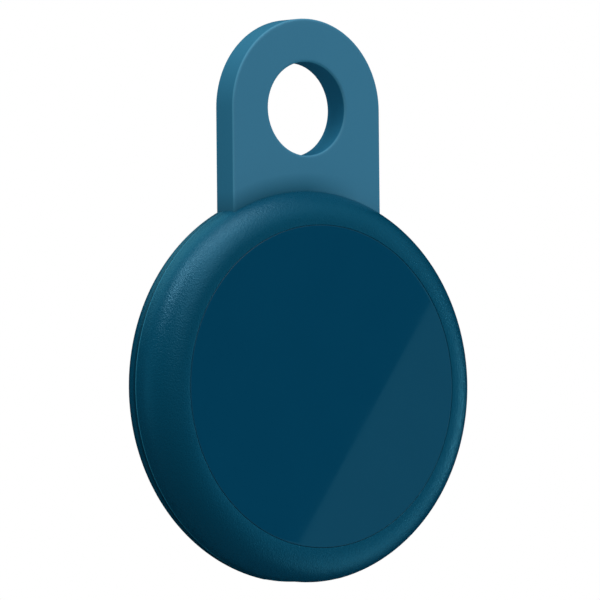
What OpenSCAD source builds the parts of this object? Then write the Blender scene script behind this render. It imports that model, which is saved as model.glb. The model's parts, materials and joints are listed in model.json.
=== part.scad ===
// Round tracker tag: a thin puck on a soft hanging loop, with a face that is pressed
// and a charging socket in the bottom of the rim.
// The origin is the centre of the loop's hole. +Z is up and the press face looks along -Y.

/* [Case] */
// Diameter of the round case
case_d = 38.8; // [38.6:0.1:40]
// Thickness of the case from front to back
case_t = 7.7; // [7.6:0.1:8.4]
// Radius of the rounding along both edges of the rim
rim_round = 3.25; // [3.2:0.05:3.5]
// Wall thickness of the two shells
wall = 1.0; // [0.9:0.05:1]
// Width of the charging port's mouth in the rim
port_w = 8.8; // [8.5:0.1:8.9]
// Height of the charging port's mouth in the rim
port_h = 2.8; // [2.6:0.1:3]
// Width of the fine V groove along the seam of the shells
seam_groove = 0.12; // [0.08:0.02:0.2]

/* [Loop] */
// Width of the loop strap
loop_w = 17.8; // [17:0.1:18]
// Thickness of the loop strap
loop_t = 3.1; // [2.9:0.1:3.2]
// Diameter of the hole that a key ring goes through
loop_hole_d = 9.26; // [8:0.01:9.6]
// Height of the hole's centre above the centre of the case
loop_rise = 27.4; // [27.2:0.1:29]
// Radius of the strap's rounded edges
loop_edge = 0.25; // [0.15:0.05:0.4]
// How far the strap bends to each side, in degrees
loop_bend = 45; // [20:5:45]

/* [Press face] */
// Diameter of the face that is pressed
face_d = 31.7; // [31.4:0.1:31.8]
// Thickness of the face plate
face_t = 0.85; // [0.8:0.05:0.9]
// Gap between the face plate and the front shell
face_gap = 0.05; // [0.04:0.01:0.08]
// How far the face moves in when it is pressed
face_travel = 0.25; // [0.15:0.05:0.25]

/* [Inside] */
// Diameter of the rechargeable coin cell
cell_d = 20; // [19.8:0.1:20]
// Thickness of the rechargeable coin cell
cell_t = 3.2; // [3:0.1:3.2]
// Diameter of the circuit board
board_d = 32.4; // [32:0.1:32.8]
// Thickness of the circuit board
board_t = 0.8; // [0.6:0.1:0.8]
// Diameter of the sounder's brass plate
sounder_d = 20; // [18:0.5:20]

/* [Hidden] */

$fn = 96;

// The puck is drawn lying down: x across, y up the case, z out of the front face.
case_r = case_d / 2;
half_t = case_t / 2;
rim_x = case_r - rim_round;
rim_z = half_t - rim_round;
cavity_r = case_r - 1.5 * wall;
slip = 0.02;

// Stack of parts from the rear wall to the front face
rear_in = wall - half_t;
glue_t = 0.15;
sounder_t = 0.2;
ceramic_t = 0.15;
flex_t = 0.08;
sounder_z = rear_in + glue_t;
ceramic_z = sounder_z + sounder_t;
flex_z = ceramic_z + ceramic_t;
cell_z = flex_z + flex_t + slip;
cell_y = -1;
cell_r = cell_d / 2;
cell_skin = 0.25;
tab_angle = 160;
board_z = cell_z + cell_t + 0.25;
board_top = board_z + board_t;
shelf_under = board_top + 0.05;
face_under = half_t - face_t;
gasket_t = 0.4;
shelf_top = face_under - gasket_t;
seat_r = face_d / 2 + face_gap;
shelf_r = seat_r - 1.6;
rear_groove = 0.1;

// The loop: its anchor inside the case, and the soft stretch where it bends
bend_y = case_r + loop_t / 2 + 0.25;
bend_gap = 0.05;
anchor_w = loop_w + 2;
anchor_low = cell_y + cell_r + 1.9;
anchor_shoulder = anchor_low + 2.6;
anchor_peg_x = 6;
anchor_peg_y = anchor_low + 2.2;
anchor_peg_r = 1.1;
clamp_low = anchor_low + 0.3;

// The charging socket, to the standard size
usb_w = 8.94;
usb_h = 3.26;
usb_mouth_w = 8.34;
usb_mouth_h = 2.56;
usb_len = 7;
usb_front = 0.8 - case_r;
usb_pitch = 0.5;
usb_contact_w = 0.25;
usb_contact_t = 0.05;
usb_tongue_w = 6.69;
usb_tongue_t = 0.7;
usb_slack = 0.16;

// Seal between the shells
seal_in = cavity_r + 0.5;
seal_w = 0.5;
seal_h = 0.7;

// Ring round the cell, and the pegs that the board is staked on
ring_in = cell_r + 0.15;
ring_w = 1.05;
peg_ring_r = 13.3;
peg_angles = [35, 145, 215, 325];
post_r = 1.3;
peg_r = 0.7;
peg_top = board_top + 0.25;

// The dome switch in the middle of the board
switch_w = 4.6;
switch_h = 0.5;
switch_floor = 0.12;
switch_well_r = 1.9;
dome_r = 1.8;
dome_rise = 0.32;
dome_t = 0.06;
cover_t = 0.1;
stem_r = 0.9;
stem_z = board_top + switch_floor + dome_rise + slip;
stem_top = board_top + switch_h + cover_t + 0.3;

// Tall side of a small part on the board, which stays under the pressed face
chip_h = 0.55;

shell_colour = [0.02, 0.24, 0.34];
loop_colour = [0.22, 0.44, 0.55];
metal = [0.78, 0.79, 0.8];
steel = [0.66, 0.68, 0.7];
brass = [0.8, 0.64, 0.3];
chip_black = [0.09, 0.09, 0.1];

// Puts a part that was drawn lying down into the standing frame
module stand() {
    translate([0, 0, -loop_rise]) rotate([90, 0, 0]) children();
}

// A block centred on x and y, from height z up
module block(x, y, z, size) {
    translate([x - size[0] / 2, y - size[1] / 2, z]) cube(size);
}

// A disc from height z up, about the case's axis or an axis at height y on the case
module disc(r, z, t, y = 0) {
    translate([0, y, z]) cylinder(r = r, h = t);
}

// A flat ring, placed as a disc is
module ring(r_in, r_out, z, t, y = 0) {
    difference() {
        disc(r_out, z, t, y);
        disc(r_in, z - 1, t + 2, y);
    }
}

// Places its children once at each peg that the board is staked on
module at_pegs() {
    for (a = peg_angles) rotate(a) translate([peg_ring_r, 0, 0]) children();
}

// Outline of the whole case, from its axis outwards
module case_outline() {
    translate([0, -rim_z]) square([case_r, 2 * rim_z]);
    translate([0, -half_t]) square([rim_x, case_t]);
    for (side = [-1, 1]) translate([rim_x, side * rim_z]) circle(r = rim_round);
}

// A flat-ended round slot that lies along x, drawn in its own plane
module slot_outline(w, h) {
    square([w - h, h], center = true);
    for (side = [-1, 1]) translate([side * (w - h) / 2, 0]) circle(d = h);
}

// The slot shape run along y, from y0 for a length
module slot_bar(w, h, y0, length) {
    translate([0, y0 + length, 0]) rotate([90, 0, 0])
        linear_extrude(length) slot_outline(w, h);
}

// Everything that both shells give way to: the strap, the port's mouth and the socket
module shell_cutouts() {
    block(0, case_r, -loop_t / 2 - slip, [loop_w + 2 * slip, case_r, loop_t + 2 * slip]);
    slot_bar(port_w, port_h, -case_r - 1, 3);
    slot_bar(usb_w + usb_slack, usb_h + usb_slack, usb_front - slip, 4);
}

// Groove of the seal, and the fine V groove where the shells meet
module seam_grooves() {
    ring(seal_in, seal_in + seal_w, -seal_h / 2, seal_h);
    rotate_extrude()
        translate([case_r, 0])
            polygon([[-seam_groove, 0], [0.1, -seam_groove], [0.1, seam_groove]]);
}

// --- The loop ---

// Cross-section of the strap, with its rounded edges
module strap_section() {
    flat_w = loop_w / 2 - loop_edge;
    flat_t = loop_t / 2 - loop_edge;
    square([2 * flat_w, loop_t], center = true);
    square([loop_w, 2 * flat_t], center = true);
    for (x = [-1, 1], y = [-1, 1]) translate([x * flat_w, y * flat_t]) circle(r = loop_edge);
}

// A straight stretch of the strap from y0 to y1
module strap_run(y0, y1) {
    translate([0, y1, 0]) rotate([90, 0, 0]) linear_extrude(y1 - y0) strap_section();
}

// The strap's round end, about the hole
module strap_end() {
    rotate_extrude(angle = 180)
        intersection() {
            strap_section();
            translate([0, -loop_t]) square([loop_w, 2 * loop_t]);
        }
}

// The hole, with its edges rounded
module strap_hole() {
    hole_r = loop_hole_d / 2;
    rotate_extrude() {
        translate([0, -loop_t]) square([hole_r, 2 * loop_t]);
        for (side = [-1, 1])
            difference() {
                translate([0, side > 0 ? loop_t / 2 - loop_edge : -loop_t / 2 - 1])
                    square([hole_r + loop_edge, loop_edge + 1]);
                translate([hole_r + loop_edge, side * (loop_t / 2 - loop_edge)])
                    circle(r = loop_edge);
            }
    }
}

module loop_eyelet() {
    color(loop_colour) stand() difference() {
        union() {
            translate([0, loop_rise, 0]) strap_end();
            strap_run(bend_y, loop_rise);
            translate([-loop_w / 2, bend_y, 0]) rotate([0, 90, 0])
                cylinder(r = loop_t / 2, h = loop_w);
        }
        translate([0, loop_rise, 0]) strap_hole();
    }
}

module loop_root() {
    lip_y = bend_y - (loop_t / 2 + bend_gap) * sin(loop_bend) - bend_gap;
    color(loop_colour) stand() difference() {
        union() {
            strap_run(anchor_low, lip_y);
            translate([-anchor_w / 2, anchor_low, -loop_t / 2])
                cube([anchor_w, anchor_shoulder - anchor_low, loop_t]);
        }
        translate([-loop_w, bend_y, 0]) rotate([0, 90, 0])
            cylinder(r = loop_t / 2 + bend_gap, h = 2 * loop_w);
        for (side = [-1, 1])
            translate([side * anchor_peg_x, anchor_peg_y, -loop_t])
                cylinder(r = anchor_peg_r + slip, h = 2 * loop_t);
    }
}

// --- The case ---

module front_shell() {
    color(shell_colour) stand() difference() {
        union() {
            rotate_extrude() difference() {
                intersection() {
                    case_outline();
                    translate([shelf_r, 0]) square([case_r, half_t]);
                }
                translate([0, shelf_top]) square([seat_r, half_t]);
                translate([0, -1]) square([cavity_r, shelf_under + 1]);
            }
            front_clamp();
        }
        seam_grooves();
        shell_cutouts();
        for (side = [-1, 1])
            translate([side * anchor_peg_x, anchor_peg_y, 0])
                cylinder(r = anchor_peg_r + slip, h = board_top + 0.1);
    }
}

// Block behind the face that holds the strap's anchor down on its pegs
module front_clamp() {
    clamp_z = loop_t / 2 + slip;
    intersection() {
        translate([-anchor_w / 2, clamp_low, clamp_z])
            cube([anchor_w, case_r - clamp_low, board_top + 0.3 - clamp_z]);
        disc(cavity_r + 0.2, 0, half_t);
    }
}

module rear_shell() {
    color(shell_colour) stand() {
        difference() {
            union() {
                rotate_extrude() difference() {
                    intersection() {
                        case_outline();
                        translate([0, -half_t]) square([case_r, half_t]);
                    }
                    polygon([
                        [0, rear_in], [cavity_r - 1, rear_in],
                        [cavity_r, rear_in + 1], [cavity_r, 1], [0, 1]
                    ]);
                }
                rear_rest();
            }
            seam_grooves();
            shell_cutouts();
            ring(seat_r - rear_groove, seat_r, -half_t - 1, 1 + rear_groove);
        }
        for (side = [-1, 1])
            translate([side * anchor_peg_x, anchor_peg_y, rear_in - 0.1])
                cylinder(r = anchor_peg_r, h = board_top - rear_in + 0.1);
        at_pegs() {
            translate([0, 0, rear_in - 0.1]) cylinder(r = post_r, h = board_z - rear_in + 0.1);
            translate([0, 0, board_z - 0.1]) cylinder(r = peg_r, h = peg_top - board_z + 0.1);
        }
    }
}

// Block on the rear wall that the strap's anchor lies on
module rear_rest() {
    intersection() {
        translate([-anchor_w / 2, clamp_low, rear_in - 0.1])
            cube([anchor_w, case_r - clamp_low, -loop_t / 2 - slip - rear_in + 0.1]);
        disc(cavity_r - 0.4, -half_t, half_t);
    }
}

module shell_seal() {
    color(chip_black) stand() difference() {
        ring(seal_in + slip, seal_in + seal_w - slip, slip - seal_h / 2, seal_h - 2 * slip);
        block(0, case_r, -half_t, [loop_w + 0.8, case_r, case_t]);
        block(0, -case_r, -half_t, [usb_w + 1.4, case_r, case_t]);
    }
}

// --- The press face and its switch ---

module face_button() {
    bevel = 0.12;
    rib_r = shelf_r - 0.3;
    rib_w = 0.6;
    rib_h = 0.35;
    color(shell_colour) stand() {
        rotate_extrude() polygon([
            [0, face_under], [face_d / 2, face_under],
            [face_d / 2, half_t - bevel], [face_d / 2 - bevel, half_t], [0, half_t]
        ]);
        difference() {
            ring(rib_r - rib_w, rib_r, face_under - rib_h, rib_h + 0.1);
            block(0, -case_r + 2, 0, [usb_w + 3, case_r / 2, case_t]);
        }
        disc(1.5, stem_top + slip, face_under - stem_top - slip + 0.1);
    }
}

module face_gasket() {
    color(chip_black) stand()
        ring(shelf_r + 0.2, seat_r - 0.2, shelf_top, gasket_t);
}

module switch_base() {
    color(chip_black) stand() difference() {
        block(0, 0, board_top, [switch_w, switch_w, switch_h]);
        disc(switch_well_r, board_top + switch_floor, switch_h);
    }
}

module switch_dome() {
    dome_ball = (dome_r * dome_r + dome_rise * dome_rise) / (2 * dome_rise);
    dome_z = board_top + switch_floor;
    color(metal) stand() intersection() {
        translate([0, 0, dome_z + dome_rise - dome_ball]) difference() {
            sphere(r = dome_ball);
            sphere(r = dome_ball - dome_t);
        }
        disc(dome_r, dome_z, 1);
    }
}

module switch_cover() {
    color(steel) stand() difference() {
        block(0, 0, board_top + switch_h, [switch_w, switch_w, cover_t]);
        disc(stem_r + 0.06, board_top, 2);
    }
}

module switch_stem() {
    color(brass) stand() disc(stem_r, stem_z, stem_top - stem_z);
}

// --- The board ---

module inner_frame() {
    color(chip_black) stand() difference() {
        ring(ring_in, ring_in + ring_w, rear_in, board_z - rear_in - 0.05, cell_y);
        block(0, -case_r, rear_in - 1, [10.4, case_d - 18, case_t + 2]);
        translate([ring_in - 1, cell_y - 1.2, rear_in - 1]) cube([ring_w + 2, 2.4, 1.8]);
        translate([0, cell_y, board_z - 0.35]) rotate(tab_angle)
            translate([ring_in - 1, -1.7, 0]) cube([ring_w + 2, 3.4, 2]);
    }
}

module main_board() {
    notch_w = usb_w + 0.56;
    notch_top = usb_front + usb_len + 0.2;
    color([0.05, 0.3, 0.16]) stand() difference() {
        disc(board_d / 2, board_z, board_t);
        block(0, anchor_low - 0.4 + case_r / 2, board_z - 1, [case_d, case_r, board_t + 2]);
        block(0, notch_top - case_r / 2, board_z - 1, [notch_w, case_r, board_t + 2]);
        at_pegs() translate([0, 0, board_z - 1]) cylinder(r = peg_r + 0.05, h = board_t + 2);
    }
}

module radio_chip() {
    color(chip_black) stand() block(-6.4, 4.2, board_top, [5, 5, chip_h]);
}

module charger_chip() {
    color(chip_black) stand() block(6.2, -6.6, board_top, [2.2, 2.2, chip_h]);
}

module motion_sensor() {
    color([0.2, 0.2, 0.22]) stand() block(-6.4, -5.6, board_top, [2.4, 2, chip_h]);
}

module chip_antenna() {
    color([0.85, 0.84, 0.78]) stand()
        translate([7.4, 7.2, 0]) rotate(-42) block(0, 0, board_top, [5.2, 2, chip_h]);
}

// The fast crystal beside the radio, and the slow one above it
module crystals() {
    color(metal) stand() {
        block(-10.6, 3.2, board_top, [1.6, 2, 0.45]);
        block(-6.4, 8.2, board_top, [3.2, 1.5, 0.5]);
    }
}

module power_inductor() {
    color([0.3, 0.3, 0.32]) stand() block(-13.7, -1.5, board_z - 1.2, [2.6, 3, 1.2]);
}

module chip_capacitors() {
    color([0.72, 0.6, 0.45]) stand() {
        for (i = [0:4]) block(-8.8 + 1.2 * i, 0.8, board_top, [0.5, 1, 0.5]);
        for (i = [0:3]) block(4.4 + 1.2 * i, -4.2, board_top, [0.5, 1, 0.5]);
        for (i = [0:3]) block(10.2, -3 + 1.3 * i, board_top, [1, 0.5, 0.5]);
    }
}

module chip_resistors() {
    color([0.15, 0.15, 0.16]) stand() {
        for (i = [0:4]) block(-8.6 + 1.1 * i, -8.4, board_top, [0.5, 1, 0.35]);
        for (i = [0:3]) block(4.6 + 1.1 * i, 1.6, board_top, [0.5, 1, 0.35]);
        for (i = [0:2]) block(2.4 + 1.2 * i, 5, board_top, [0.5, 1, 0.35]);
    }
}

// --- The battery ---

module cell_turned() {
    translate([0, cell_y, cell_z]) rotate_extrude() children();
}

module battery_can() {
    lip_z = cell_t - 0.35;
    color(metal) stand() cell_turned() polygon([
        [0, 0], [cell_r, 0], [cell_r, lip_z], [cell_r - 0.7, lip_z],
        [cell_r - 0.7, lip_z - cell_skin], [cell_r - cell_skin, lip_z - cell_skin],
        [cell_r - cell_skin, cell_skin], [0, cell_skin]
    ]);
}

module battery_cap() {
    cap_r = cell_r - 1.1;
    color(metal) stand() cell_turned() polygon([
        [0, cell_t], [cap_r, cell_t], [cap_r, 1.2], [cap_r - cell_skin, 1.2],
        [cap_r - cell_skin, cell_t - cell_skin], [0, cell_t - cell_skin]
    ]);
}

module battery_gasket() {
    seal_top = cell_t - 0.35 - cell_skin - 0.05;
    color([0.2, 0.35, 0.3]) stand() cell_turned() polygon([
        [cell_r - 1.05, 0.4], [cell_r - cell_skin - 0.05, 0.4],
        [cell_r - cell_skin - 0.05, seal_top], [cell_r - 0.75, seal_top],
        [cell_r - 0.75, cell_t - 0.3], [cell_r - 1.05, cell_t - 0.3]
    ]);
}

module battery_electrodes() {
    color([0.25, 0.25, 0.27]) stand()
        disc(cell_r - 1.4, cell_z + cell_skin + 0.05, cell_t - 2 * cell_skin - 0.1, cell_y);
}

module battery_tab_positive() {
    tab_t = 0.12;
    low_y = cell_y - cell_r;
    color(steel) stand() {
        block(0, low_y - tab_t / 2, cell_z, [3, tab_t, board_z - cell_z]);
        block(0, low_y + 0.7, board_z - tab_t, [3, 1.4 + 2 * tab_t, tab_t]);
    }
}

module battery_tab_negative() {
    color(steel) stand() translate([0, cell_y, cell_z + cell_t]) rotate(tab_angle) {
        translate([2, -1.5, 0]) cube([10.8, 3, 0.1]);
        translate([11.6, -1.5, 0]) cube([1.2, 3, 0.25]);
    }
}

module insulator_film() {
    color([0.75, 0.6, 0.2]) stand()
        disc(cell_r - 1.8, cell_z + cell_t + 0.12, 0.1, cell_y);
}

// --- The sounder ---

module sounder_glue_ring() {
    color([0.9, 0.9, 0.88]) stand()
        ring(sounder_d / 2 - 1.4, sounder_d / 2 - 0.1, rear_in, glue_t, cell_y);
}

module sounder_plate() {
    color(brass) stand() disc(sounder_d / 2, sounder_z, sounder_t, cell_y);
}

module sounder_ceramic() {
    color([0.9, 0.89, 0.84]) stand() disc(sounder_d * 0.35, ceramic_z, ceramic_t, cell_y);
}

module sounder_flex() {
    flex_out = ring_in + ring_w + 0.2;
    color([0.8, 0.5, 0.15]) stand() {
        translate([3, cell_y - 0.8, flex_z]) cube([flex_out - 3, 1.6, flex_t]);
        translate([flex_out - flex_t, cell_y - 0.8, flex_z])
            cube([flex_t, 1.6, board_z - flex_z]);
    }
}

// --- The charging socket ---

module usb_shell() {
    leg_x = usb_w / 2;
    color(metal) stand() {
        difference() {
            slot_bar(usb_w, usb_h, usb_front, usb_len);
            slot_bar(usb_mouth_w, usb_mouth_h, usb_front - 1, usb_len + 0.7);
        }
        for (side = [-1, 1]) {
            block(side * (leg_x + 0.05), usb_front + 5.8, -0.5, [0.3, 1, board_top + 0.5]);
            block(side * (leg_x + 0.35), usb_front + 5.8, board_top, [0.9, 1, 0.15]);
        }
    }
}

module usb_tongue() {
    tongue_y = usb_front + 0.9;
    color(chip_black) stand() {
        block(0, tongue_y + 2.6, -usb_tongue_t / 2, [usb_tongue_w, 5.2, usb_tongue_t]);
        slot_bar(usb_mouth_w - 0.04, usb_mouth_h - 0.04, usb_front + usb_len - 1.6, 1.25);
    }
}

module usb_contacts() {
    color(brass) stand()
        for (face = [-1, 1], i = [0:11])
            block((i - 5.5) * usb_pitch, usb_front + 3.1,
                  face > 0 ? usb_tongue_t / 2 : -usb_tongue_t / 2 - usb_contact_t,
                  [usb_contact_w, 3.8, usb_contact_t]);
}

module usb_seal_ring() {
    seal_y = usb_front + 1.6;
    color([0.12, 0.16, 0.18]) stand() difference() {
        slot_bar(usb_w + 1.5, usb_h + 0.7, seal_y, 0.8);
        slot_bar(usb_w + 0.04, usb_h + 0.04, seal_y - 1, 3);
    }
}

loop_eyelet();
loop_root();
front_shell();
rear_shell();
shell_seal();
face_button();
face_gasket();
switch_base();
switch_dome();
switch_cover();
switch_stem();
inner_frame();
main_board();
radio_chip();
charger_chip();
motion_sensor();
chip_antenna();
crystals();
power_inductor();
chip_capacitors();
chip_resistors();
battery_can();
battery_cap();
battery_gasket();
battery_electrodes();
battery_tab_positive();
battery_tab_negative();
insulator_film();
sounder_glue_ring();
sounder_plate();
sounder_ceramic();
sounder_flex();
usb_shell();
usb_tongue();
usb_contacts();
usb_seal_ring();
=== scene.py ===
"""Looks of the round tracker tag: soft strap, matte shells, glossy press face, inner parts."""

import json
import math

import bmesh
import bpy
from mathutils import Matrix, Vector


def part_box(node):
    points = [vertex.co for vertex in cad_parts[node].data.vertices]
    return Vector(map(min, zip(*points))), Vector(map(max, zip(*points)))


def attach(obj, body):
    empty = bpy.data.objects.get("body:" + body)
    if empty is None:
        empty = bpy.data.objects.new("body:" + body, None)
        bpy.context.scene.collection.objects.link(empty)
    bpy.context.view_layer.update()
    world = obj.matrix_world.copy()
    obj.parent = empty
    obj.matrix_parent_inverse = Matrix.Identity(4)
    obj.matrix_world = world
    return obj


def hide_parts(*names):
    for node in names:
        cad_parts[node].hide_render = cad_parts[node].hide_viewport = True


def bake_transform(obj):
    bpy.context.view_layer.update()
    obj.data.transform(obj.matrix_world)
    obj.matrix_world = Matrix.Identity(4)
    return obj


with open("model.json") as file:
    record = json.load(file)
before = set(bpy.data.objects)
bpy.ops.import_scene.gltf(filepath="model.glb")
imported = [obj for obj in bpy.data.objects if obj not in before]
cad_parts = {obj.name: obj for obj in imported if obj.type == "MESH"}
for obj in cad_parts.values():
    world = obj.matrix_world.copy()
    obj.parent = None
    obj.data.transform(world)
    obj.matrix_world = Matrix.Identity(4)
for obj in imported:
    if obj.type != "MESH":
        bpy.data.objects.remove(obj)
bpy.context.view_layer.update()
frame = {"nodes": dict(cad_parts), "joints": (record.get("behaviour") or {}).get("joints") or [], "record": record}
for plain in list(bpy.data.materials):
    bpy.data.materials.remove(plain)

# --- Sizes, in metres: taken from the frame where it holds them ---

MM = 0.001
nodes = frame["nodes"]
mounts = {mount["name"]: mount for mount in frame["record"]["mounts"]}
joints = {joint["name"]: joint for joint in frame["joints"]}

front_low, front_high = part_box("front_shell")
face_low, face_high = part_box("face_button")
eyelet_low, eyelet_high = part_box("loop_eyelet")
root_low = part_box("loop_root")[0]
contacts_low, contacts_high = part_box("usb_contacts")
stem_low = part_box("switch_stem")[0]

# The puck
CASE_R = (front_high.x - front_low.x) / 2
CASE_Z = (face_low.z + face_high.z) / 2
CASE_HALF_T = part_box("rear_shell")[1].y
RIM_ROUND = 3.25 * MM
WALL = 1 * MM
CAVITY_R = CASE_R - 1.5 * WALL
SEAM_Y = 0.5 * MM
FRONT_SEAM_LIP = 0.08 * MM
REAR_SEAM_LIP = 0.06 * MM
SEAL_IN = 18.4 * MM
SEAL_OUT = 18.9 * MM
SEAL_HALF = 0.35 * MM
REAR_GROOVE_W = 0.1 * MM
REAR_GROOVE_DEPTH = 0.1 * MM
REAR_GROOVE_SLOPE = 0.03 * MM

# The press face and its seat
FACE_R = (face_high.x - face_low.x) / 2
FACE_GAP = 0.03 * MM
FACE_T = 0.85 * MM
FACE_EDGE = 0.05 * MM
FACE_BOSS_R = 1.5 * MM
SEAT_R = FACE_R + FACE_GAP
SEAT_LIP = 0.04 * MM
SHELF_R = SEAT_R - 1.6 * MM
SHELF_Y = 2.6 * MM
SHELF_UNDER_Y = 2.05 * MM

# The strap
STRAP_W = eyelet_high.x - eyelet_low.x
STRAP_T = eyelet_high.y - eyelet_low.y
STRAP_EDGE = 0.25 * MM
STRAP_RING = 0.5 * MM
HOLE_R = mounts["loop_hole"]["dims"]["r_mm"] * MM
BEND_Z = joints["loop_flex"]["pos_m"][2]
BEND_MARGIN = 0.2 * MM
REST_PLACE = "rest_place"

# The port and its contacts
PORT_W = 8.8 * MM
PORT_H = 2.8 * MM
PORT_DEPTH = 2 * MM
POCKET_W = 9.1 * MM
POCKET_H = 3.42 * MM
POCKET_LIP = 0.78 * MM
POCKET_DEPTH = 4 * MM
CONTACT_PITCH = 0.5 * MM
CONTACT_W = 0.25 * MM
CONTACT_T = 0.05 * MM
CONTACT_COUNT = 12

# Room between fitted pieces, how far a cut starts outside, and how near points are merged
SLIP = 0.02 * MM
CUT_PAST = 1 * MM
MERGE_GAP = 0.0005 * MM

# Steps round each curve, and the angle from which an edge stays crisp
TURN_STEPS = 192
RIM_STEPS = 28
LIP_STEPS = 5
EDGE_STEPS = 6
STRAP_END_STEPS = 64
HOLE_STEPS = 72
BEND_STEPS = 16
PORT_CORNER_STEPS = 12
SHARP_ANGLE = 38


# --- Node graphs ---


class Value:
    """A socket used in arithmetic: each operator adds one Math node to its graph."""

    def __init__(self, graph, socket):
        self.graph = graph
        self.socket = socket

    def _math(self, operation, first, second=0.0):
        return self.graph.node("ShaderNodeMath", {"operation": operation}, {0: first, 1: second})

    def __add__(self, other):
        return self._math("ADD", self, other)

    def __radd__(self, other):
        return self._math("ADD", other, self)

    def __sub__(self, other):
        return self._math("SUBTRACT", self, other)

    def __rsub__(self, other):
        return self._math("SUBTRACT", other, self)

    def __mul__(self, other):
        return self._math("MULTIPLY", self, other)

    def __rmul__(self, other):
        return self._math("MULTIPLY", other, self)

    def __truediv__(self, other):
        return self._math("DIVIDE", self, other)

    def __rtruediv__(self, other):
        return self._math("DIVIDE", other, self)

    def __mod__(self, other):
        return self._math("MODULO", self, other)

    def __rmod__(self, other):
        return self._math("MODULO", other, self)

    def root(self):
        return self._math("SQRT", self)

    def whole(self):
        return self._math("FLOOR", self)

    def cosine(self):
        return self._math("COSINE", self)

    def sine(self):
        return self._math("SINE", self)


class Graph:
    """A node tree, filled by one method that adds a node of any type."""

    def __init__(self, tree):
        self.tree = tree

    def node(self, kind, settings=None, sockets=None, output=0):
        """Adds a node: its settings first, then the values or links of its sockets."""
        made = self.tree.nodes.new(kind)
        for key, value in (settings or {}).items():
            setattr(made, key, value)
        for key, value in (sockets or {}).items():
            for entry in value if isinstance(value, list) else [value]:
                self.plug(made.inputs[key], entry)
        return Value(self, made.outputs[output]) if made.outputs else None

    def plug(self, socket, value):
        """Links a value to a socket, or sets the socket to a plain number, colour or vector."""
        if isinstance(value, Value):
            self.tree.links.new(value.socket, socket)
        elif isinstance(value, tuple) and socket.type == "RGBA":
            socket.default_value = (*value[:3], 1)
        else:
            socket.default_value = value


# --- Finishes ---


class Finish(Graph):
    """One material of the tag, with short calls for the nodes that give it its grain."""

    def __init__(self, name, **constants):
        self.material = bpy.data.materials.new(name)
        self.material.use_nodes = True
        super().__init__(self.material.node_tree)
        self.shader = self.tree.nodes["Principled BSDF"]
        for socket, value in constants.items():
            self.feed(socket.replace("_", " "), value)

    def feed(self, name, value):
        """Sets one of the shader's own sockets, or links a value to it."""
        self.plug(self.shader.inputs[name], value)

    def place(self, **mapping):
        """Object coordinates, moved, turned or stretched by the Mapping sockets given."""
        place = self.node("ShaderNodeTexCoord", output=3)
        if not mapping:
            return place
        return self.node("ShaderNodeMapping", None, {"Vector": place, **mapping})

    def rest_place(self):
        """Where a point of a soft piece lies before it bends, as the piece keeps it."""
        return self.node("ShaderNodeAttribute", {"attribute_name": REST_PLACE}, output=1)

    def part(self, place, axis):
        """One of a place's three coordinates."""
        return self.node("ShaderNodeSeparateXYZ", None, {0: place}, output=axis)

    def noise(self, size, detail=2, stretch=(1, 1, 1), place=None):
        """Noise whose blotches are about size across, longer along the axes under 1 in stretch."""
        place = place or self.place(Scale=stretch)
        sockets = {"Vector": place, "Scale": 1 / size, "Detail": detail}
        return self.node("ShaderNodeTexNoise", None, sockets)

    def pits(self, size):
        """Distance from the middle of round cells about size across."""
        return self.node("ShaderNodeTexVoronoi", None, {"Vector": self.place(), "Scale": 1 / size})

    def tint(self, amount, dark, light):
        """A colour between two, by an amount from 0 to 1."""
        return self.node(
            "ShaderNodeMix", {"data_type": "RGBA"}, {0: amount, 6: dark, 7: light}, output=2
        )

    def spread(self, value, low, high, start=0.3, end=0.7):
        """Maps a noise value from start..end onto low..high."""
        sockets = {"Value": value, "From Min": start, "From Max": end}
        return self.node("ShaderNodeMapRange", None, {**sockets, "To Min": low, "To Max": high})

    def band(self, value, rise, full, fall, end):
        """1 from full to fall, 0 before rise and after end, with straight slopes between."""
        return self.spread(value, 0, 1, rise, full) * self.spread(value, 1, 0, fall, end)

    def relief(self, height, depth, strength):
        """Makes the surface look raised by depth where height is 1."""
        sockets = {"Height": height, "Distance": depth, "Strength": strength}
        self.feed("Normal", self.node("ShaderNodeBump", None, sockets))


# The strap: colours, the painted shade of its sides, its hole and the stretch by the rim, the painted highlight
# along its edges, where each starts and ends, and its fine grain
STRAP_DARK = (0.05, 0.146, 0.229)
STRAP_LIGHT = (0.056, 0.156, 0.24)
STRAP_CLOUD = 9 * MM
STRAP_GRAIN = 0.16 * MM
STRAP_GRAIN_DEPTH = 0.006 * MM
# Painted shade on the side walls and, darker, on the hole's wall
SIDE_PAINTED_SHADE = (0.024, 0.113, 0.185)
BORE_PAINTED_SHADE = (0.012, 0.1, 0.18)
BORE_REACH = 0.05 * MM
# Painted highlight along the rounded edges, where it is palest and where it ends
EDGE_PAINTED_HIGHLIGHT = (0.065, 0.19, 0.28)
EDGE_MIDDLE = 0.53 * STRAP_EDGE
EDGE_END = 0.01 * MM
# Painted shadow on the strap just above the puck's rim: its colour, where it starts and ends, and where it fades
# out to the right
CONTACT_PAINTED_SHADOW = (0.017, 0.082, 0.133)
CONTACT_SHADOW_START = -0.2 * MM
CONTACT_SHADOW_END = 1.7 * MM
CONTACT_SHADOW_SIDE = 6 * MM

# The shells: colours, the painted highlight and the painted shade along the seam, and the etched grain
RIM_DARK = (0.0004, 0.044, 0.083)
RIM_LIGHT = (0.0008, 0.049, 0.091)
RIM_CLOUD = 7 * MM
RIM_ROUGH = 0.31
RIM_ROUGH_SWING = 0.07
RIM_PITS = 0.2 * MM
RIM_FINE = 0.11 * MM
RIM_GRAIN_DEPTH = 0.04 * MM
# Painted highlight in a thin band just in front of the seam
SEAM_PAINTED_HIGHLIGHT = (0.02, 0.15, 0.23)
SEAM_HIGHLIGHT_BAND = (-0.2 * MM, -0.12 * MM, -0.04 * MM, 0)
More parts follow.
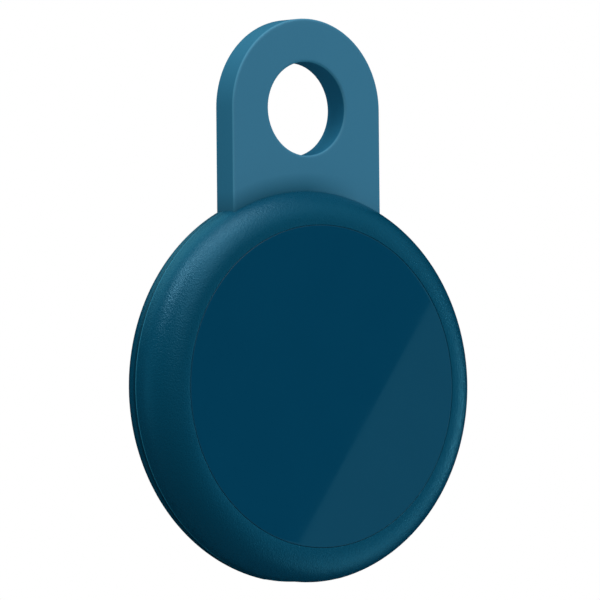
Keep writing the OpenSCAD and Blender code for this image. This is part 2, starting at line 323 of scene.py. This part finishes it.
# Painted shade in a band just behind the seam, on the rear shell
SEAM_PAINTED_SHADE = (0.0003, 0.022, 0.042)
SEAM_SHADE_BAND = (0, 0.02 * MM, 0.15 * MM, 0.5 * MM)

# The press face
FACE_DARK = (0.0012, 0.0435, 0.087)
FACE_LIGHT = (0.0016, 0.0465, 0.092)
FACE_CLOUD = 5 * MM
FACE_EDGE_ROUGH = 0.4

# The small parts inside, and the floor
MOULD_GRAIN = 0.12 * MM
MOULD_DARKER = 0.8
ROLLED_LINES = 0.09 * MM
ROLLED_STAIN = 4 * MM
ROLLED_DARKER = 0.82
TRACK_PITCH = 2.4 * MM
FLOOR_DARK = (0.95, 0.7, 0.67)
FLOOR_LIGHT = (0.98, 0.73, 0.7)
FLOOR_CLOUD = 60 * MM
FLOOR_GRAIN = 1.2 * MM


def loop_silicone():
    """Matte silicone of the strap: a painted highlight along its edges, painted shade on its sides and in its
    hole, and a painted shadow by the rim.
    """
    finish = Finish(
        "loop_silicone", IOR=1.41, Specular_IOR_Level=0.12, Specular_Tint=(0.3, 0.8, 1.0)
    )
    place = finish.rest_place()
    x, depth, z = (finish.part(place, axis) for axis in range(3))
    skin = finish.tint(finish.noise(STRAP_CLOUD, place=place), STRAP_DARK, STRAP_LIGHT)
    # Painted shade: the side walls are darker, and the hole's wall darker still.
    from_hole = (x * x + z * z).root()
    bore = finish.spread(from_hole, 1, 0, HOLE_R + BORE_REACH, HOLE_R + STRAP_EDGE)
    side = finish.tint(bore, SIDE_PAINTED_SHADE, BORE_PAINTED_SHADE)
    # Painted highlight along the rounded front and rear edges, between the painted side shade and the face.
    half_t = STRAP_T / 2
    from_middle = (depth * depth).root()
    palest = half_t - EDGE_MIDDLE
    rising = finish.spread(from_middle, 0, 1, half_t - STRAP_EDGE, palest)
    falling = finish.spread(from_middle, 0, 1, palest, half_t - EDGE_END)
    before_contact_shadow = finish.tint(falling, finish.tint(rising, side, EDGE_PAINTED_HIGHLIGHT), skin)
    # Painted shadow on the strap just above the puck's rim, strongest on its left side.
    up = z - CASE_Z
    from_puck = (x * x + up * up).root()
    near = finish.spread(from_puck, 1, 0, CASE_R + CONTACT_SHADOW_START, CASE_R + CONTACT_SHADOW_END)
    near = near * finish.spread(x, 1, 0, 0, CONTACT_SHADOW_SIDE)
    finish.feed("Base Color", finish.tint(near, before_contact_shadow, CONTACT_PAINTED_SHADOW))
    grain = finish.noise(STRAP_GRAIN, detail=3, place=place)
    finish.feed("Roughness", finish.spread(grain, 0.5, 0.62))
    finish.relief(grain, STRAP_GRAIN_DEPTH, 0.5)
    return finish.material


def rim_plastic():
    """Satin plastic of the shells: a fine spark-etched grain, a painted highlight just in front of the seam and
    painted shade just behind it.
    """
    finish = Finish(
        "rim_plastic", IOR=1.5, Specular_IOR_Level=0.5, Specular_Tint=(0.22, 0.7, 1.0)
    )
    pits = finish.pits(RIM_PITS)
    fine = finish.noise(RIM_FINE, detail=3)
    depth = finish.part(finish.place(), 1) - SEAM_Y
    shell = finish.tint(finish.noise(RIM_CLOUD), RIM_DARK, RIM_LIGHT)
    # Painted highlight in a thin band just in front of the seam.
    shell = finish.tint(finish.band(depth, *SEAM_HIGHLIGHT_BAND), shell, SEAM_PAINTED_HIGHLIGHT)
    # Painted shade in a band just behind the seam, on the rear shell.
    shell = finish.tint(finish.band(depth, *SEAM_SHADE_BAND), shell, SEAM_PAINTED_SHADE)
    finish.feed("Base Color", shell)
    rough = finish.spread(fine, RIM_ROUGH - RIM_ROUGH_SWING, RIM_ROUGH + RIM_ROUGH_SWING)
    finish.feed("Roughness", rough)
    finish.relief(pits * 0.5 + fine, RIM_GRAIN_DEPTH, 0.8)
    return finish.material


def face_plastic():
    """Polished plastic of the press face: a faint unevenness, and a rougher rounded edge."""
    finish = Finish("face_plastic", IOR=1.5, Specular_IOR_Level=0.3)
    haze = finish.noise(FACE_CLOUD, detail=3)
    finish.feed("Base Color", finish.tint(haze, FACE_DARK, FACE_LIGHT))
    place = finish.place()
    x = finish.part(place, 0)
    up = finish.part(place, 2) - CASE_Z
    radius = (x * x + up * up).root()
    edge = finish.spread(
        radius, 0, FACE_EDGE_ROUGH, FACE_R - 2 * FACE_EDGE, FACE_R - FACE_EDGE
    )
    finish.feed("Roughness", finish.spread(haze, 0.02, 0.035) + edge)
    return finish.material


def moulded(name, colour, roughness):
    """A small moulded part: even colour under a fine grain."""
    finish = Finish(name)
    grain = finish.noise(MOULD_GRAIN, detail=3)
    darker = tuple(channel * MOULD_DARKER for channel in colour)
    finish.feed("Base Color", finish.tint(grain, darker, colour))
    finish.feed("Roughness", finish.spread(grain, roughness - 0.06, roughness + 0.06))
    finish.relief(grain, 0.008 * MM, 0.5)
    return finish.material


def rolled_metal(name, colour, roughness, along=(0.04, 1, 1)):
    """Sheet metal with fine lines along its rolling direction."""
    finish = Finish(name, Metallic=1.0)
    lines = finish.noise(ROLLED_LINES, detail=4, stretch=along)
    stain = finish.noise(ROLLED_STAIN)
    darker = tuple(channel * ROLLED_DARKER for channel in colour)
    finish.feed("Base Color", finish.tint(stain, darker, colour))
    finish.feed("Roughness", finish.spread(lines, roughness - 0.08, roughness + 0.1))
    finish.relief(lines, 0.004 * MM, 0.4)
    return finish.material


def board_laminate():
    """Green solder mask over tracks that stand a little proud."""
    finish = Finish("board_laminate", IOR=1.5)
    flat = finish.place(Rotation=(math.pi / 2, 0, 0))
    sockets = {"Vector": flat, "Scale": 1 / TRACK_PITCH, "Mortar Size": 0.05, "Mortar Smooth": 0.1}
    tracks = finish.node(
        "ShaderNodeTexBrick", {"offset": 0.37, "squash": 1.6}, sockets, output=1
    )
    weave = finish.noise(0.3 * MM)
    mask = finish.tint(weave, (0.004, 0.06, 0.022), (0.006, 0.075, 0.03))
    finish.feed("Base Color", finish.tint(tracks, mask, (0.02, 0.13, 0.05)))
    finish.feed("Roughness", finish.spread(weave, 0.28, 0.36))
    finish.relief(tracks, 0.02 * MM, 0.6)
    return finish.material


def floor_paint():
    """Pale matte floor, warm enough to look white in the cool light."""
    finish = Finish("floor_paint", Roughness=0.9)
    cloud = finish.noise(FLOOR_CLOUD)
    finish.feed("Base Color", finish.tint(cloud, FLOOR_DARK, FLOOR_LIGHT))
    finish.relief(finish.noise(FLOOR_GRAIN), 0.05 * MM, 0.3)
    return finish.material


MATERIALS = {
    "loop_silicone": loop_silicone(),
    "rim_plastic": rim_plastic(),
    "face_plastic": face_plastic(),
    "seal_rubber": moulded("seal_rubber", (0.02, 0.021, 0.023), 0.6),
    "black_plastic": moulded("black_plastic", (0.018, 0.018, 0.02), 0.42),
    "spring_steel": rolled_metal("spring_steel", (0.62, 0.63, 0.65), 0.26),
    "cell_steel": rolled_metal("cell_steel", (0.7, 0.7, 0.69), 0.3),
    "socket_steel": rolled_metal("socket_steel", (0.66, 0.67, 0.68), 0.24, (1, 1, 0.04)),
    "board_laminate": board_laminate(),
    "chip_resin": moulded("chip_resin", (0.022, 0.022, 0.024), 0.5),
    "antenna_ceramic": moulded("antenna_ceramic", (0.72, 0.7, 0.62), 0.4),
    "capacitor_ceramic": moulded("capacitor_ceramic", (0.42, 0.29, 0.17), 0.4),
    "ferrite": moulded("ferrite", (0.07, 0.07, 0.075), 0.55),
    "electrode_stack": moulded("electrode_stack", (0.05, 0.05, 0.055), 0.5),
    "amber_film": moulded("amber_film", (0.55, 0.25, 0.04), 0.25),
    "glue": moulded("glue", (0.78, 0.77, 0.72), 0.45),
    "sounder_brass": rolled_metal("sounder_brass", (0.78, 0.55, 0.24), 0.28),
    "contact_gold": rolled_metal("contact_gold", (0.92, 0.68, 0.28), 0.2, (1, 1, 0.04)),
    "floor_paint": floor_paint(),
}


def finish_cad_nodes():
    """Gives every carried-over node the finish of its slot in the record."""
    for part in frame["record"]["subparts"]:
        mesh = nodes[part["node"]].data
        mesh.materials.clear()
        mesh.materials.append(MATERIALS[part["material_slot"]])


# --- Geometry Nodes ---


SOCKET_TYPES = {float: "NodeSocketFloat", int: "NodeSocketInt", Vector: "NodeSocketVector"}


class Recipe(Graph):
    """A Geometry Nodes tree with named inputs that ends in Realize Instances and Set Material."""

    def __init__(self, name, **inputs):
        super().__init__(bpy.data.node_groups.new(name, "GeometryNodeTree"))
        self.tree.is_modifier = True
        self._add_input("Start", "NodeSocketGeometry")
        for key, value in inputs.items():
            self._add_input(key, SOCKET_TYPES[type(value)], value)
        self._add_input("Finish", "NodeSocketMaterial")
        self.tree.interface.new_socket(
            name="Piece", in_out="OUTPUT", socket_type="NodeSocketGeometry"
        )

    def _add_input(self, name, kind, value=None):
        socket = self.tree.interface.new_socket(name=name, in_out="INPUT", socket_type=kind)
        if value is not None:
            socket.default_value = value

    def given(self, name):
        """One of the tree's own inputs."""
        return self.node("NodeGroupInput", output=name)

    def vector(self, x=0.0, y=0.0, z=0.0):
        return self.node("ShaderNodeCombineXYZ", None, {"X": x, "Y": y, "Z": z})

    def end(self, geometry):
        """Closes the tree: real geometry, smooth shading, the finish, and out."""
        whole = self.node("GeometryNodeRealizeInstances", None, {"Geometry": geometry})
        smooth = self.node("GeometryNodeSetShadeSmooth", None, {"Geometry": whole})
        painted = self.node(
            "GeometryNodeSetMaterial", None, {"Geometry": smooth, "Material": self.given("Finish")}
        )
        self.node("NodeGroupOutput", None, {"Piece": painted})

    def apply(self, thing, finish, **sizes):
        """Runs the tree on an object and leaves the result as its plain mesh."""
        modifier = thing.modifiers.new(self.tree.name, "NODES")
        modifier.node_group = self.tree
        values = {"Finish": MATERIALS[finish], **sizes}
        for item in self.tree.interface.items_tree:
            if item.name in values:
                modifier[item.identifier] = values[item.name]
        bpy.context.view_layer.update()
        seen = thing.evaluated_get(bpy.context.evaluated_depsgraph_get())
        made = bpy.data.meshes.new_from_object(seen)
        thing.modifiers.remove(modifier)
        made.name = thing.name
        thing.data = made
        made.materials.clear()
        made.materials.append(values["Finish"])
        made.polygons.foreach_set("material_index", [0] * len(made.polygons))


def turning_recipe():
    """Turns a profile of (distance from the axis, depth) points about the puck's axis."""
    recipe = Recipe("turning", AxisHeight=0.0, Steps=24)
    profile = recipe.given("Start")
    steps = recipe.given("Steps")
    count = recipe.node(
        "GeometryNodeAttributeDomainSize", {"component": "MESH"}, {"Geometry": profile}
    )
    around = steps + 1
    grid = recipe.node(
        "GeometryNodeMeshGrid", None, {"Vertices X": count, "Vertices Y": around}
    )
    index = recipe.node("GeometryNodeInputIndex")
    point = recipe.node(
        "GeometryNodeSampleIndex",
        {"data_type": "FLOAT_VECTOR"},
        {
            "Geometry": profile,
            "Value": recipe.node("GeometryNodeInputPosition"),
            "Index": (index / around).whole(),
        },
    )
    radius = recipe.node("ShaderNodeSeparateXYZ", None, {0: point}, output=0)
    depth = recipe.node("ShaderNodeSeparateXYZ", None, {0: point}, output=1)
    turn = (index % around) / steps * (2 * math.pi)
    height = recipe.given("AxisHeight") + radius * turn.cosine()
    place = recipe.vector(radius * turn.sine(), depth, height)
    turned = recipe.node("GeometryNodeSetPosition", None, {"Geometry": grid, "Position": place})
    closed = recipe.node(
        "GeometryNodeMergeByDistance", None, {"Geometry": turned, "Distance": MERGE_GAP}
    )
    recipe.end(closed)
    return recipe


def cutting_recipe():
    """Cuts the strap's slot, the port's mouth and the socket's pocket out of a shell."""
    recipe = Recipe(
        "cutting",
        AxisHeight=0.0, CaseRadius=0.0, SlotWidth=0.0, SlotDepth=0.0, MouthWidth=0.0,
        MouthHeight=0.0, PocketWidth=0.0, PocketHeight=0.0, PocketLip=0.0,
    )
    axis = recipe.given("AxisHeight")
    case_r = recipe.given("CaseRadius")
    size = recipe.vector(recipe.given("SlotWidth"), recipe.given("SlotDepth"), case_r)
    slot = recipe.node("GeometryNodeMeshCube", None, {"Size": size})
    slot = recipe.node(
        "GeometryNodeTransform",
        None,
        {"Geometry": slot, "Translation": recipe.vector(0.0, 0.0, axis + case_r)},
    )

    def round_bar(width, height, low, high):
        """A bar with round narrow sides that stands upright from low to high."""
        outline = recipe.node(
            "GeometryNodeCurvePrimitiveQuadrilateral", None, {"Width": width, "Height": height}
        )
        rounded = recipe.node(
            "GeometryNodeFilletCurve",
            {"mode": "POLY"},
            {"Curve": outline, "Radius": height * 0.499, "Count": PORT_CORNER_STEPS},
        )
        path = recipe.node(
            "GeometryNodeCurvePrimitiveLine",
            None,
            {"Start": recipe.vector(0.0, 0.0, low), "End": recipe.vector(0.0, 0.0, high)},
        )
        sockets = {"Curve": path, "Profile Curve": rounded, "Fill Caps": True}
        return recipe.node("GeometryNodeCurveToMesh", None, sockets)

    bottom = axis - case_r
    mouth = round_bar(
        recipe.given("MouthWidth"),
        recipe.given("MouthHeight"),
        bottom - CUT_PAST,
        bottom + PORT_DEPTH,
    )
    pocket_low = bottom + recipe.given("PocketLip")
    pocket = round_bar(
        recipe.given("PocketWidth"),
        recipe.given("PocketHeight"),
        pocket_low,
        pocket_low + POCKET_DEPTH,
    )
    cut = recipe.node(
        "GeometryNodeMeshBoolean",
        {"operation": "DIFFERENCE", "solver": "EXACT"},
        {"Mesh 1": recipe.given("Start"), "Mesh 2": [slot, mouth, pocket]},
    )
    recipe.end(cut)
    return recipe


def contact_recipe():
    """Rows of thin contacts on both faces of the socket's tongue."""
    recipe = Recipe(
        "contacts", Count=2, Pitch=0.0, Width=0.0, Thickness=0.0, Length=0.0, Spread=0.0,
        Middle=Vector(),
    )
    pitch = recipe.given("Pitch")
    first = recipe.vector(pitch * (recipe.given("Count") - 1) * -0.5, 0.0, 0.0)
    row = recipe.node(
        "GeometryNodeMeshLine",
        None,
        {
            "Count": recipe.given("Count"),
            "Start Location": first,
            "Offset": recipe.vector(pitch, 0.0, 0.0),
        },
    )
    size = recipe.vector(
        recipe.given("Width"), recipe.given("Thickness"), recipe.given("Length")
    )
    strip = recipe.node("GeometryNodeMeshCube", None, {"Size": size})
    strips = recipe.node(
        "GeometryNodeInstanceOnPoints", None, {"Points": row, "Instance": strip}
    )
    halves = [
        recipe.node(
            "GeometryNodeTransform",
            None,
            {
                "Geometry": strips,
                "Translation": recipe.vector(0.0, recipe.given("Spread") * side, 0.0),
            },
        )
        for side in (-0.5, 0.5)
    ]
    both = recipe.node("GeometryNodeJoinGeometry", None, {"Geometry": halves})
    placed = recipe.node(
        "GeometryNodeTransform", None, {"Geometry": both, "Translation": recipe.given("Middle")}
    )
    recipe.end(placed)
    return recipe


def new_piece(name, mesh):
    """An object at the origin that shows a bmesh, which is freed."""
    data = bpy.data.meshes.new(name)
    mesh.to_mesh(data)
    mesh.free()
    piece = bpy.data.objects.new(name, data)
    bpy.context.scene.collection.objects.link(piece)
    return piece


def chain(points):
    """A bmesh that holds points as a chain of edges."""
    mesh = bmesh.new()
    verts = [mesh.verts.new((r, y, 0)) for r, y in points]
    for pair in zip(verts, verts[1:]):
        mesh.edges.new(pair)
    return mesh


def settle(piece):
    """Merges doubles, turns the faces outwards and keeps the sharp edges crisp."""
    mesh = bmesh.new()
    mesh.from_mesh(piece.data)
    bmesh.ops.remove_doubles(mesh, verts=mesh.verts[:], dist=MERGE_GAP)
    bmesh.ops.recalc_face_normals(mesh, faces=mesh.faces[:])
    mesh.to_mesh(piece.data)
    mesh.free()
    for face in piece.data.polygons:
        face.use_smooth = True
    piece.data.set_sharp_from_angle(angle=math.radians(SHARP_ANGLE))


# --- The shells and the press face ---


def bow(centre, radius, start, end, steps):
    """Points along a circle between two angles in degrees, measured from the r axis towards +y."""
    points = []
    for i in range(steps + 1):
        angle = math.radians(start + (end - start) * i / steps)
        points.append((centre[0] + radius * math.cos(angle), centre[1] + radius * math.sin(angle)))
    return points


def rim_profile(lip_y, seam_lip, seam_y):
    """The rim from the edge of its flat to the seam's rounded lip, then inside, on the +y side."""
    turn = (CASE_R - RIM_ROUND, CASE_HALF_T - RIM_ROUND)
    seam = (CASE_R - seam_lip, seam_y + seam_lip)
    rim = bow(turn, RIM_ROUND, 90, 0, RIM_STEPS)
    seal = []
    if seam_y < SEAL_HALF:
        seal = [(SEAL_OUT, SEAL_HALF), (SEAL_IN, SEAL_HALF)]
        seal = [(SEAL_OUT, seam_y), *seal, (SEAL_IN, seam_y)]
    inside = [(CAVITY_R, seam_y), (CAVITY_R, lip_y)]
    return rim + bow(seam, seam_lip, 0, -90, LIP_STEPS) + seal + inside


def front_profile():
    """Section of the front shell: seat of the face, rim, seam, inside wall and shelf."""
    lip = bow((SEAT_R + SEAT_LIP, CASE_HALF_T - SEAT_LIP), SEAT_LIP, 180, 90, LIP_STEPS)
    shelf = [(SHELF_R, SHELF_UNDER_Y), (SHELF_R, SHELF_Y), (SEAT_R, SHELF_Y)]
    points = lip + rim_profile(SHELF_UNDER_Y, FRONT_SEAM_LIP, -SEAM_Y) + shelf + lip[:1]
    return [(r, -y) for r, y in points]


def rear_profile():
    """Section of the rear shell, with the fine ring groove in its flat back."""
    floor_y = CASE_HALF_T - REAR_GROOVE_DEPTH
    groove_in = SEAT_R - REAR_GROOVE_W
    flat = [(0, CASE_HALF_T), (groove_in - REAR_GROOVE_SLOPE, CASE_HALF_T), (groove_in, floor_y)]
    flat += [(SEAT_R, floor_y), (SEAT_R + REAR_GROOVE_SLOPE, CASE_HALF_T)]
    inner_y = CASE_HALF_T - WALL
    inside = [(CAVITY_R - WALL, inner_y), (0, inner_y)]
    return flat + rim_profile(inner_y - WALL, REAR_SEAM_LIP, SEAM_Y) + inside


def face_profile():
    """Section of the press face, with its rounded edge and the boss over the switch."""
    edge = bow((FACE_R - FACE_EDGE, CASE_HALF_T - FACE_EDGE), FACE_EDGE, 90, 0, EDGE_STEPS)
    under_y = CASE_HALF_T - FACE_T
    boss_y = SLIP - stem_low.y
    flat = [(0, CASE_HALF_T), (FACE_R - 4 * FACE_EDGE, CASE_HALF_T)]
    boss = [(FACE_R, under_y), (FACE_BOSS_R, under_y), (FACE_BOSS_R, boss_y), (0, boss_y)]
    return [(r, -y) for r, y in flat + edge + boss]


def make_turned(name, profile, finish):
    """A round piece: its section turned about the puck's axis."""
    piece = new_piece(name, chain(profile))
    turning.apply(piece, finish, AxisHeight=CASE_Z, Steps=TURN_STEPS)
    settle(piece)
    return piece


def make_shell(name, profile):
    """A turned shell with the strap's slot and the port cut out of it."""
    shell = make_turned(name, profile, "rim_plastic")
    cutting.apply(
        shell, "rim_plastic",
        AxisHeight=CASE_Z, CaseRadius=CASE_R,
        SlotWidth=STRAP_W + 2 * SLIP, SlotDepth=STRAP_T + 2 * SLIP,
        MouthWidth=PORT_W, MouthHeight=PORT_H,
        PocketWidth=POCKET_W, PocketHeight=POCKET_H, PocketLip=POCKET_LIP,
    )
    settle(shell)
    return shell


def make_contacts():
    """The socket's contacts, in the space of their node."""
    contacts = new_piece("socket_contacts", bmesh.new())
    contact.apply(
        contacts, "contact_gold",
        Count=CONTACT_COUNT, Pitch=CONTACT_PITCH, Width=CONTACT_W, Thickness=CONTACT_T,
        Length=contacts_high.z - contacts_low.z,
        Spread=contacts_high.y - contacts_low.y - CONTACT_T,
        Middle=(contacts_low + contacts_high) / 2,
    )
    return contacts


# --- The strap ---


def arc(centre, radius, start, end, steps):
    """Points on a circle in the strap's plane, as (x, z) pairs with their outward directions."""
    points = []
    for i in range(steps + 1):
        angle = start + (end - start) * i / steps
        outward = Vector((math.cos(angle), math.sin(angle)))
        points.append((Vector(centre) + outward * radius, outward))
    return points


def strap_outline():
    """The strap seen from the front: up one side, over the round end and down the other."""
    half_w = STRAP_W / 2
    right = Vector((1, 0))
    foot = Vector((0, root_low.z))
    side = [(foot + Vector((half_w, 0)), right)]
    other = [(foot - Vector((half_w, 0)), -right)]
    return side + arc((0, 0), half_w, 0, math.pi, STRAP_END_STEPS) + other


def edge_rows():
    """Steps across the strap's edge from the front face to the rear one: (inset, y)."""
    half_t = STRAP_T / 2
    rows = [(STRAP_RING, -half_t)]
    for turn in range(EDGE_STEPS + 1):
        angle = math.pi / 2 * turn / EDGE_STEPS
        inset = STRAP_EDGE * (1 - math.sin(angle))
        rows.append((inset, STRAP_EDGE * (1 - math.cos(angle)) - half_t))
    return rows + [(inset, -y) for inset, y in reversed(rows)]


def sweep_edge(mesh, outline, inward, closed):
    """Skins the strap's edge along an outline, and returns its front and rear rows of vertices."""
    rows = []
    for inset, y in edge_rows():
        row = []
        for point, outward in outline:
            at = point - outward * inset * inward
            row.append(mesh.verts.new((at.x, y, at.y)))
        rows.append(row)
    count = len(outline)
    for near, far in zip(rows, rows[1:]):
        for i in range(count if closed else count - 1):
            j = (i + 1) % count
            mesh.faces.new((near[i], near[j], far[j], far[i]))
    return rows[0], rows[-1]


def make_strap():
    """The strap as one closed piece, with rows of points across the stretch that bends."""
    mesh = bmesh.new()
    outer = strap_outline()
    hole = arc((0, 0), HOLE_R, 0, 2 * math.pi, HOLE_STEPS)[:-1]
    outer_front, outer_rear = sweep_edge(mesh, outer, 1, False)
    hole_front, hole_rear = sweep_edge(mesh, hole, -1, True)
    for outer_row, hole_row in ((outer_front, hole_front), (outer_rear, hole_rear)):
        mesh.edges.new((outer_row[0], outer_row[-1]))
        edges = [mesh.edges.get((a, b)) for a, b in zip(outer_row, outer_row[1:])]
        edges.append(mesh.edges.get((outer_row[0], outer_row[-1])))
        edges += [mesh.edges.get((a, b)) for a, b in zip(hole_row, hole_row[1:] + hole_row[:1])]
        bmesh.ops.triangle_fill(mesh, use_beauty=True, edges=edges)
    ends = [e for e in mesh.edges if e.is_boundary]
    bmesh.ops.edgeloop_fill(mesh, edges=ends)
    bend_low = BEND_Z - STRAP_T
    bend_high = -HOLE_R
    for i in range(BEND_STEPS + 1):
        height = bend_low + (bend_high - bend_low) * i / BEND_STEPS
        everything = mesh.verts[:] + mesh.edges[:] + mesh.faces[:]
        bmesh.ops.bisect_plane(mesh, geom=everything, plane_co=(0, 0, height), plane_no=(0, 0, 1))
    strap = new_piece("loop_strap", mesh)
    settle(strap)
    rest = strap.data.attributes.new(REST_PLACE, "FLOAT_VECTOR", "POINT")
    rest.data.foreach_set("vector", [c for vertex in strap.data.vertices for c in vertex.co])
    strap.data.materials.append(MATERIALS["loop_silicone"])
    return strap


# --- Stage, camera and lights ---

SHOT_AZIMUTH = -35.67
SHOT_ELEVATION = -1.02
SHOT_ROLL = -0.54
SHOT_DISTANCE = 593.1 * MM
SHOT_LENS = 360.3
SHOT_AIM = Vector((-0.065 * MM, -0.123 * MM, CASE_Z + 8.545 * MM))
FLOOR_DROP = 120 * MM
FLOOR_R = 0.6

COOL = (0.25, 0.85, 1.0)

# name, azimuth, elevation, distance, width and height, power, and colour where it isn't white
PANELS = (
    ("key", -93, 53, 0.5, (0.1, 0.1), 0.78),
    ("top", -40, 75, 0.5, (0.3, 0.3), 1.15),
    ("front", -8, 48, 0.5, (0.4, 0.4), 1.0),
    ("right", 60, 30, 0.5, (0.4, 0.4), 0.24, COOL),
    ("right_strip", 78, -6, 0.5, (0.1, 0.1), 0.24, COOL),
    ("left", -112, 0, 0.5, (0.2, 0.2), 0.11, COOL),
    ("low", 62, -40, 0.16, (0.1, 0.1), 0.045, COOL),
    ("rear", -170, 45, 0.6, (0.5, 0.5), 0.8, COOL),
)

# The sheet beside the press face: the line where its edge is mirrored, from the face's centre
SHEET_LINE_HIGH = Vector((13.5 * MM, 0, 8.6 * MM))
SHEET_LINE_LOW = Vector((-3.1 * MM, 0, -15.3 * MM))
SHEET_DISTANCE = 0.2
SHEET_SIZE = (0.2, 0.12)
SHEET_POWER = 0.05

WORLD_FELT = 0.56
WORLD_FELT_COLOUR = (0.5, 0.95, 1.0)
WORLD_MIRRORED = 0.0


def direction(azimuth, elevation):
    """Unit vector from the tag towards a place given by its azimuth and elevation in degrees."""
    turn = math.radians(azimuth)
    rise = math.radians(elevation)
    return Vector(
        (math.sin(turn) * math.cos(rise), -math.cos(turn) * math.cos(rise), math.sin(rise))
    )


def add_camera():
    """The camera, aimed at the tag from its front left."""
    camera = bpy.data.objects.new("camera", bpy.data.cameras.new("camera"))
    back = direction(SHOT_AZIMUTH, SHOT_ELEVATION)
    camera.data.lens = SHOT_LENS
    camera.data.clip_start = 0.01
    camera.location = SHOT_AIM + back * SHOT_DISTANCE
    look = back.to_track_quat("Z", "Y").to_matrix()
    roll = Matrix.Rotation(math.radians(SHOT_ROLL), 3, "Z")
    camera.rotation_euler = (look @ roll).to_euler()
    bpy.context.scene.collection.objects.link(camera)
    bpy.context.scene.camera = camera
    return camera


def add_floor():
    """A round floor well below the tag, which doesn't colour the tag's underside."""
    mesh = bmesh.new()
    bmesh.ops.create_circle(mesh, cap_ends=True, segments=96, radius=FLOOR_R)
    bmesh.ops.translate(mesh, verts=mesh.verts, vec=(0, 0, CASE_Z - CASE_R - FLOOR_DROP))
    floor = new_piece("floor", mesh)
    floor.data.materials.append(MATERIALS["floor_paint"])
    floor.visible_glossy = False
    floor.visible_diffuse = False


def new_light(name, size, power, colour):
    """A rectangular light that the camera doesn't see."""
    light = bpy.data.lights.new(name, "AREA")
    light.shape = "RECTANGLE"
    light.size, light.size_y = size
    light.energy = power
    light.color = colour
    panel = bpy.data.objects.new(name, light)
    panel.visible_camera = False
    bpy.context.scene.collection.objects.link(panel)
    return panel


def add_panel(name, azimuth, elevation, distance, size, power, colour=(1, 1, 1)):
    """A soft rectangular light that faces the tag."""
    panel = new_light(name, size, power, colour)
    away = direction(azimuth, elevation)
    panel.location = Vector((0, 0, CASE_Z)) + away * distance
    panel.rotation_euler = away.to_track_quat("Z", "Y").to_euler()


def add_side_sheet(camera):
    """A dim sheet whose straight edge the press face mirrors along the sheet's line."""
    centre = Vector((0, -CASE_HALF_T, CASE_Z))
    high = centre + SHEET_LINE_HIGH
    low = centre + SHEET_LINE_LOW
    mirrored = camera.location.copy()
    mirrored.y = -2 * CASE_HALF_T - mirrored.y
    ends = []
    middle = (high + low) / 2
    out = (middle - mirrored).normalized()
    plane = middle + out * SHEET_DISTANCE
    for point in (high, low):
        ray = point - mirrored
        ends.append(mirrored + ray * ((plane - mirrored).dot(out) / ray.dot(out)))
    along = (ends[0] - ends[1]).normalized()
    across = along.cross(out)
    if across.x < 0:
        across = -across
    facing = along.cross(across)
    if facing.dot(out) < 0:
        along = -along
        facing = -facing
    panel = new_light("side_sheet", SHEET_SIZE, SHEET_POWER, COOL)
    panel.matrix_world = Matrix((along, across, facing)).transposed().to_4x4()
    panel.location = (ends[0] + ends[1]) / 2 + across * SHEET_SIZE[1] / 2


def add_lights(camera):
    for panel in PANELS:
        add_panel(*panel)
    add_side_sheet(camera)


def add_world():
    """White for the camera, a soft cool light on the tag, and nothing in its reflections."""
    world = bpy.data.worlds.new("studio")
    world.use_nodes = True
    world.node_tree.nodes.clear()
    graph = Graph(world.node_tree)

    def glow(shade, colour=(1, 1, 1)):
        sockets = {"Color": colour, "Strength": shade}
        return graph.node("ShaderNodeBackground", None, sockets)

    def either(ray, first, second):
        kind = graph.node("ShaderNodeLightPath", output=ray)
        return graph.node("ShaderNodeMixShader", None, {0: kind, 1: first, 2: second})

    soft = either("Is Glossy Ray", glow(WORLD_FELT, WORLD_FELT_COLOUR), glow(WORLD_MIRRORED))
    seen = either("Is Camera Ray", soft, glow(1))
    graph.node("ShaderNodeOutputWorld", None, {"Surface": seen})
    bpy.context.scene.world = world
    bpy.context.scene.view_settings.view_transform = "Standard"


# --- Making the tag ---

finish_cad_nodes()
turning = turning_recipe()
cutting = cutting_recipe()
contact = contact_recipe()

camera = add_camera()
add_floor()
add_world()
add_lights(camera)

strap = make_strap()
bend_start = (0, 0, -HOLE_R - BEND_MARGIN)
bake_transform(strap)
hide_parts("loop_eyelet", "loop_root")

front = make_shell("shell_front", front_profile())
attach(front, "case")
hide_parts("front_shell")

rear = make_shell("shell_rear", rear_profile())
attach(rear, "case")
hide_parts("rear_shell")

face = make_turned("press_face", face_profile(), "face_plastic")
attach(face, "button")
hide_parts("face_button")

contacts = make_contacts()
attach(contacts, "case")
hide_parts("usb_contacts")
